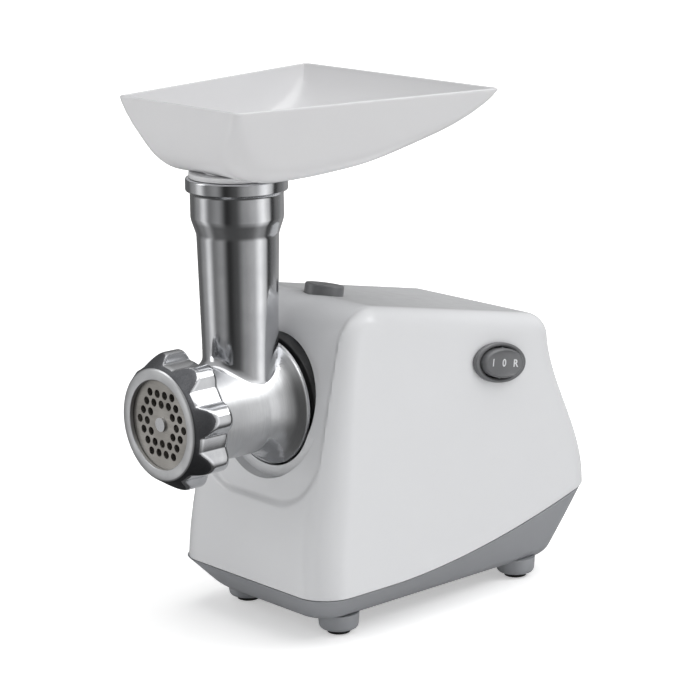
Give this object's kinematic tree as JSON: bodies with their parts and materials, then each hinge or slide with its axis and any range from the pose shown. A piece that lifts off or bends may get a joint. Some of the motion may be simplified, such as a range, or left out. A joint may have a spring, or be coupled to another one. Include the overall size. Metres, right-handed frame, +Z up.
{
  "type": "electric meat grinder",
  "caption": "Table-top electric meat grinder: a motor and gear train in a moulded housing turn a feed screw in a bayonet head with a feed tube, hopper pan, grinding plate and ring nut.",
  "frame": {"origin": "on the table under the middle of the machine, midway between the ring nut's face and the back of the housing", "axes": "+Z up, -Y towards the ring nut, +X the side with the switch"},
  "size_m": [0.1822, 0.3155, 0.348],
  "materials": {
    "white_housing": "glossy moulded ABS",
    "white_hopper": "glossy moulded polypropylene",
    "grey_base": "satin moulded ABS",
    "grey_trim": "moulded ABS",
    "black_plastic": "glass-filled nylon",
    "cream_plastic": "moulded nylon",
    "gear_nylon": "machined nylon",
    "rubber": "matt",
    "polished_aluminium": "cast and polished",
    "die_cast_zinc": "as die cast",
    "plate_steel": "ground",
    "ground_steel": "ground",
    "zinc_steel": "zinc plated",
    "spring_steel": "drawn wire",
    "laminated_steel": "stamped laminations",
    "bronze": "machined",
    "enamelled_copper": "enamelled wire",
    "carbon": "pressed carbon"
  },
  "bodies": {
    "housing": {"housing_shell": "white_housing", "base_tray": "grey_base", "foot_pads": "rubber", "base_screws": "zinc_steel", "socket_bezel": "black_plastic", "cord_gland": "rubber", "terminal_block": "cream_plastic", "switch_bezel": "grey_trim", "rocker_pin": "zinc_steel", "switch_body": "black_plastic", "lock_spring": "spring_steel", "lever_pin": "zinc_steel", "gearbox_case": "die_cast_zinc", "gearbox_cover": "die_cast_zinc", "gearbox_screws": "zinc_steel", "output_bearings": "bronze", "gear_axles": "ground_steel", "stator_core": "laminated_steel", "field_coils": "enamelled_copper", "motor_bearings": "ground_steel", "front_bracket": "die_cast_zinc", "rear_bracket": "die_cast_zinc", "motor_bolts": "zinc_steel", "carbon_brushes": "carbon", "brush_holders": "bronze"},
    "rocker": {"switch_rocker": "grey_trim"},
    "lock": {"lock_button": "grey_trim", "lock_plunger": "black_plastic"},
    "lever": {"lock_lever": "zinc_steel"},
    "head": {"screw_casing": "polished_aluminium", "plate_key": "ground_steel"},
    "hopper": {"hopper_pan": "white_hopper"},
    "plate": {"grinding_plate": "plate_steel"},
    "nut": {"ring_nut": "polished_aluminium"},
    "screw": {"feed_screw": "polished_aluminium", "cutter_blade": "ground_steel", "drive_bush": "black_plastic", "output_shaft": "ground_steel", "output_gear": "gear_nylon"},
    "second_gear": {"second_pinion": "ground_steel", "second_wheel": "gear_nylon"},
    "first_gear": {"first_pinion": "ground_steel", "first_wheel": "gear_nylon"},
    "rotor": {"motor_shaft": "ground_steel", "armature_core": "laminated_steel", "armature_windings": "enamelled_copper", "commutator": "bronze", "cooling_fan": "black_plastic"}
  },
  "joints": [
    {"name": "head_twist", "type": "hinge", "parent": "housing", "child": "head", "pos_m": [0, -0.06, 0.15], "axis": [0, -1, 0], "range_deg": [0, 30]},
    {"name": "hopper_lift", "type": "slide", "parent": "head", "child": "hopper", "axis": [0, 0, 1], "range_m": [0, 0.05]},
    {"name": "plate_slide", "type": "slide", "parent": "head", "child": "plate", "axis": [0, -1, 0], "range_m": [0, 0.009]},
    {"name": "nut_turn", "type": "hinge", "parent": "plate", "child": "nut", "pos_m": [0, -0.145, 0.15], "axis": [0, -1, 0], "range_deg": [0, 1080]},
    {"name": "lock_press", "type": "slide", "parent": "housing", "child": "lock", "axis": [0, -0.1867, -0.9824], "range_m": [0, 0.003], "stiffness_N_per_m": 400, "springref_m": -0.002, "deforming": ["lock_spring"]},
    {"name": "lever_tip", "type": "hinge", "parent": "housing", "child": "lever", "pos_m": [0, -0.041, 0.193], "axis": [-1, 0, 0], "range_deg": [0, 9.2]},
    {"name": "rocker_tilt", "type": "hinge", "parent": "housing", "child": "rocker", "pos_m": [0.0694, 0.0735, 0.16162], "axis": [-0.0584, 0.1864, 0.9807], "range_deg": [-9, 9]},
    {"name": "screw_spin", "type": "hinge", "parent": "housing", "child": "screw", "pos_m": [0, -0.05, 0.15], "axis": [0, 1, 0], "continuous": true},
    {"name": "second_gear_spin", "type": "hinge", "parent": "housing", "child": "second_gear", "pos_m": [0.024, -0.02, 0.118], "axis": [0, 1, 0], "continuous": true},
    {"name": "first_gear_spin", "type": "hinge", "parent": "housing", "child": "first_gear", "pos_m": [-0.003, -0.01, 0.10277], "axis": [0, 1, 0], "continuous": true},
    {"name": "rotor_spin", "type": "hinge", "parent": "housing", "child": "rotor", "pos_m": [0, 0.05, 0.07815], "axis": [0, 1, 0], "continuous": true}
  ],
  "couplings": [
    {"joint": "plate_slide", "follows": "nut_turn", "m_per_rad": 0.00047746},
    {"joint": "lever_tip", "follows": "lock_press", "rad_per_m": 53.1},
    {"joint": "second_gear_spin", "follows": "screw_spin", "ratio": -4.3333},
    {"joint": "first_gear_spin", "follows": "screw_spin", "ratio": 18.056},
    {"joint": "rotor_spin", "follows": "screw_spin", "ratio": -93.889}
  ]
}
